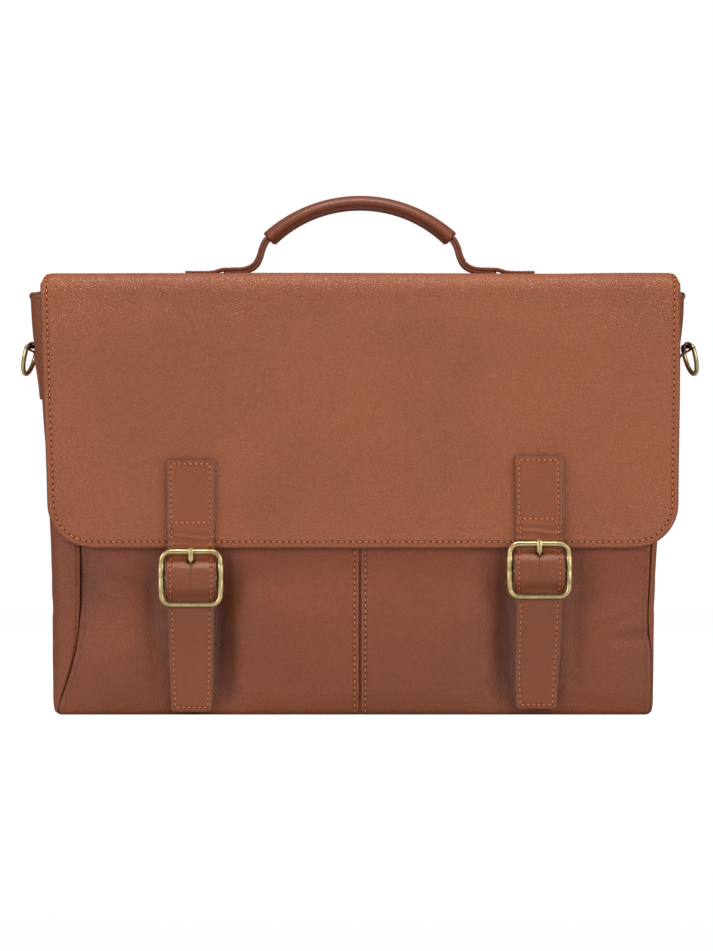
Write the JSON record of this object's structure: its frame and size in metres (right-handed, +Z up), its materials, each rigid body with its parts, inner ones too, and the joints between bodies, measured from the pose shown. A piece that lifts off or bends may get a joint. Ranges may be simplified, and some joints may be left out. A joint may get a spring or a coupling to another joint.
{
  "type": "leather briefcase",
  "caption": "Soft leather briefcase with a full flap, buckled straps, front pockets, a carrying handle and side D-rings.",
  "frame": {"origin": "middle of the underside, where the bag stands", "axes": "+X to the right along the bag, -Y out of the front, +Z up"},
  "size_m": [0.4308, 0.1036, 0.329],
  "materials": {
    "leather": "fine pebbled, semi-matt",
    "strap_leather": "smooth, semi-matt",
    "handle_leather": "smooth, satin",
    "flap_leather": "fine pebbled, satin",
    "lining": "plain weave",
    "divider": "padded, plain weave",
    "board": "stiffener board",
    "cord": "cotton filler",
    "brass": "antique, brushed"
  },
  "bodies": {
    "case": {"back_panel": "leather", "base_panel": "leather", "front_wall": "leather", "base_board": "board", "back_board": "board", "pocket_seam_strip": "leather", "lining": "lining", "laptop_divider": "divider", "front_wall_binding": "leather", "left_gusset": "leather", "left_pocket_panel": "leather", "left_pocket_binding": "leather", "left_gusset_binding": "leather", "left_ring_loop": "leather", "left_ring_patch": "leather", "right_gusset": "leather", "right_pocket_panel": "leather", "right_pocket_binding": "leather", "right_gusset_binding": "leather", "right_ring_loop": "leather", "right_ring_patch": "leather", "left_snap_socket": "brass", "right_snap_socket": "brass"},
    "flap_top": {"flap_top_leather": "flap_leather", "flap_top_lining": "lining", "left_handle_tab": "handle_leather", "left_handle_tab_cover": "handle_leather", "right_handle_tab": "handle_leather", "right_handle_tab_cover": "handle_leather"},
    "flap_front": {"flap_front_leather": "flap_leather", "flap_front_lining": "lining", "left_strap_anchor": "strap_leather", "right_strap_anchor": "strap_leather"},
    "handle": {"handle_grip": "handle_leather", "handle_core": "cord", "left_handle_leg": "handle_leather", "right_handle_leg": "handle_leather"},
    "left_strap": {"left_strap": "strap_leather", "left_buckle_frame": "brass", "left_buckle_bar": "brass", "left_chape": "strap_leather", "left_snap_stud": "brass"},
    "left_tongue": {"left_buckle_tongue": "brass"},
    "left_ring": {"left_d_ring": "brass"},
    "right_strap": {"right_strap": "strap_leather", "right_buckle_frame": "brass", "right_buckle_bar": "brass", "right_chape": "strap_leather", "right_snap_stud": "brass"},
    "right_tongue": {"right_buckle_tongue": "brass"},
    "right_ring": {"right_d_ring": "brass"}
  },
  "joints": [
    {"name": "flap_rear_fold", "type": "hinge", "parent": "case", "child": "flap_top", "pos_m": [0, 0.04242, 0.27742], "axis": [-1, 0, 0], "range_deg": [0, 120]},
    {"name": "flap_front_fold", "type": "hinge", "parent": "flap_top", "child": "flap_front", "pos_m": [0, -0.04562, 0.27742], "axis": [-1, 0, 0], "range_deg": [0, 95]},
    {"name": "handle_fold", "type": "hinge", "parent": "flap_top", "child": "handle", "pos_m": [0, 0, 0.2844], "axis": [1, 0, 0], "range_deg": [-60, 60]},
    {"name": "left_strap_lift", "type": "hinge", "parent": "flap_front", "child": "left_strap", "pos_m": [-0.107, -0.0494, 0.1191], "axis": [-1, 0, 0], "range_deg": [0, 95]},
    {"name": "left_tongue_pivot", "type": "hinge", "parent": "left_strap", "child": "left_tongue", "pos_m": [-0.107, -0.0533, 0.0867], "axis": [1, 0, 0], "range_deg": [0, 35]},
    {"name": "left_ring_swing", "type": "hinge", "parent": "case", "child": "left_ring", "pos_m": [-0.20946, 0, 0.234], "axis": [0, 1, 0], "range_deg": [0, 115]},
    {"name": "right_strap_lift", "type": "hinge", "parent": "flap_front", "child": "right_strap", "pos_m": [0.1135, -0.0494, 0.1216], "axis": [-1, 0, 0], "range_deg": [0, 95]},
    {"name": "right_tongue_pivot", "type": "hinge", "parent": "right_strap", "child": "right_tongue", "pos_m": [0.1135, -0.0533, 0.0917], "axis": [1, 0, 0], "range_deg": [0, 35]},
    {"name": "right_ring_swing", "type": "hinge", "parent": "case", "child": "right_ring", "pos_m": [0.20946, 0, 0.234], "axis": [0, -1, 0], "range_deg": [0, 115]}
  ]
}
